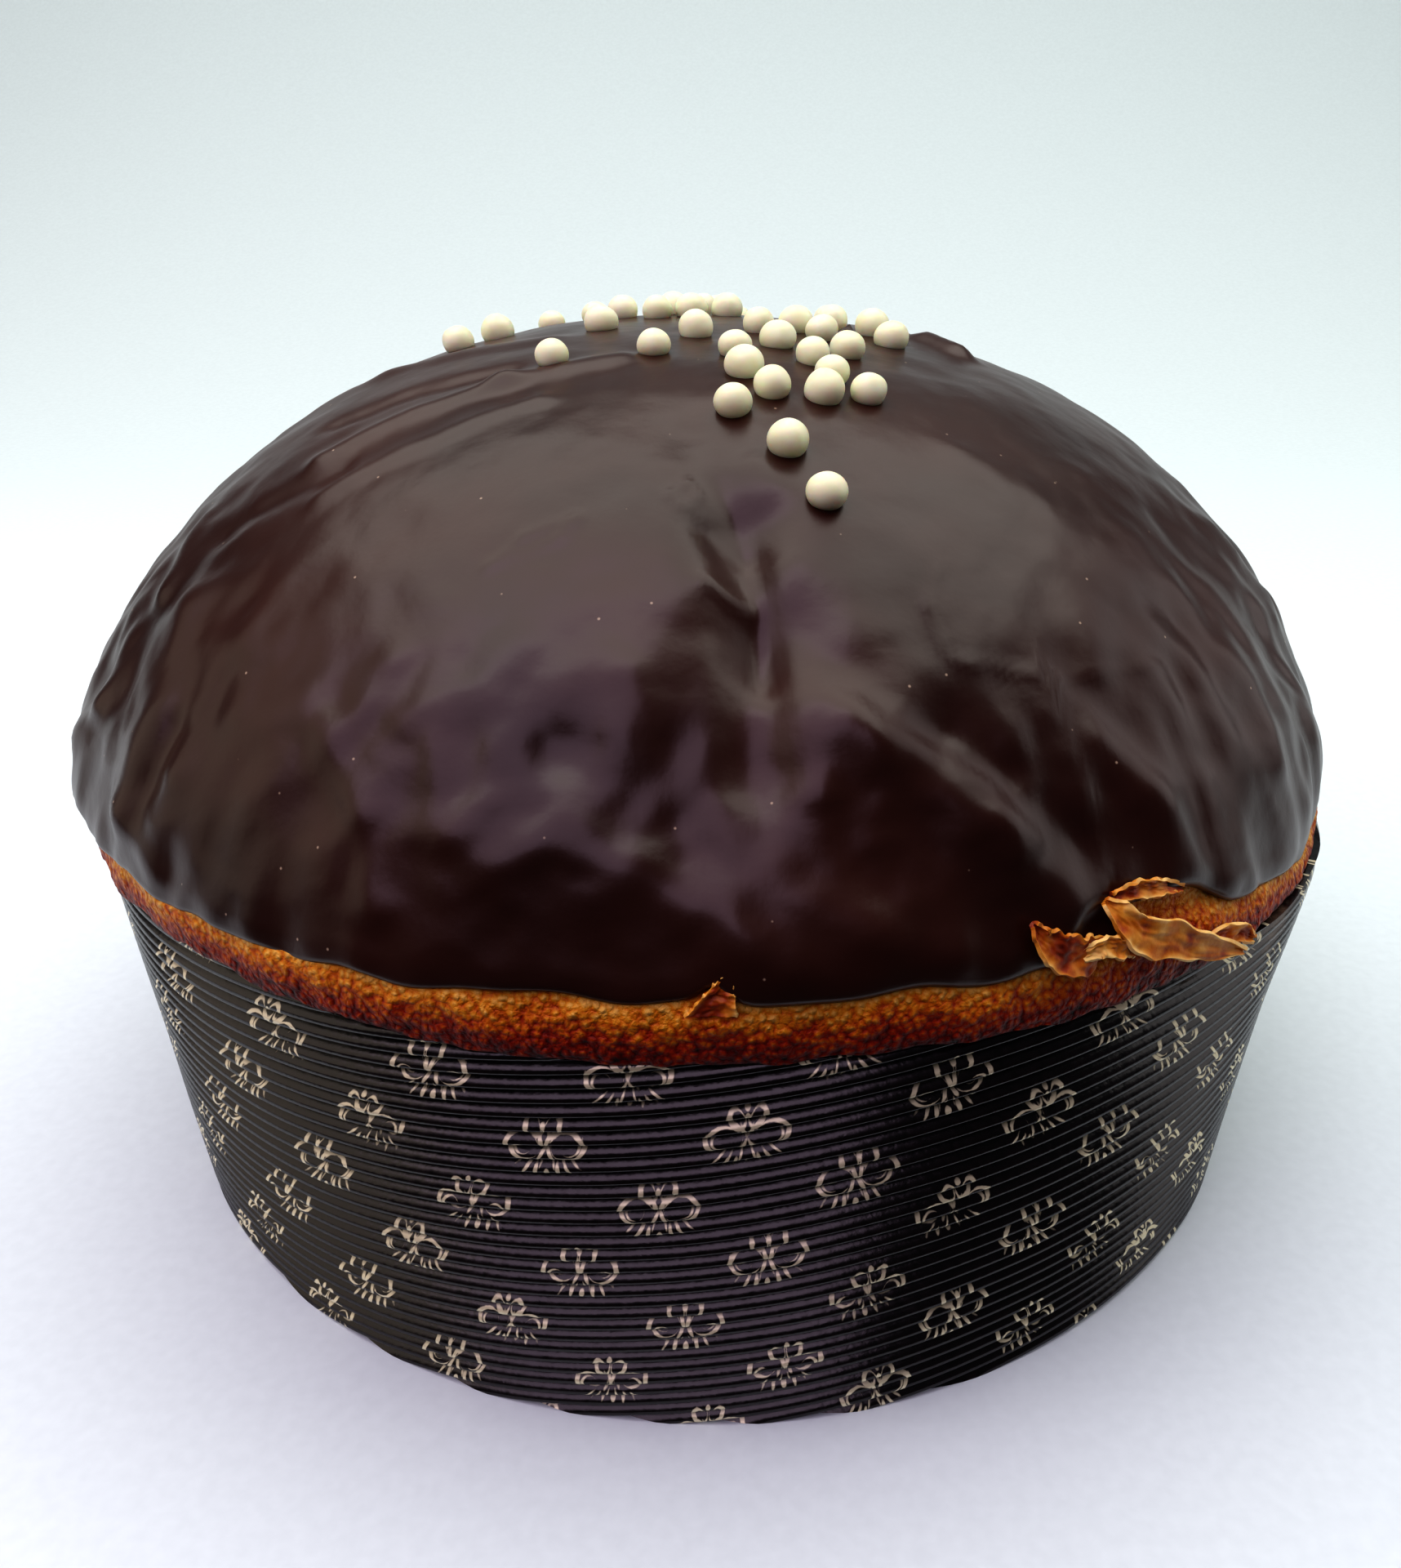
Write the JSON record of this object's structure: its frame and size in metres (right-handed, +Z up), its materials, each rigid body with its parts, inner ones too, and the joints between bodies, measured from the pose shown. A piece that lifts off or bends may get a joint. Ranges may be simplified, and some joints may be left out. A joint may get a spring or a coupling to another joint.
{
  "type": "chocolate-glazed panettone",
  "caption": "Domed sweet loaf with a chocolate glaze and sugar pearls, baked in a low round corrugated paper mould.",
  "frame": {"origin": "middle of the paper mould's base, on the surface it stands on", "axes": "+Z up through the dome, -Y towards the front that the picture shows, +X to the right"},
  "size_m": [0.2204, 0.2186, 0.1453],
  "materials": {
    "paper": "dark brown corrugated baking paper with a matt gold print",
    "crust": "browned crust, grainy and dry",
    "chocolate": "dark chocolate, satin"
  },
  "bodies": {
    "root": {"paper_mould": "paper", "bread": "crust", "chocolate_glaze": "chocolate"}
  },
  "joints": []
}
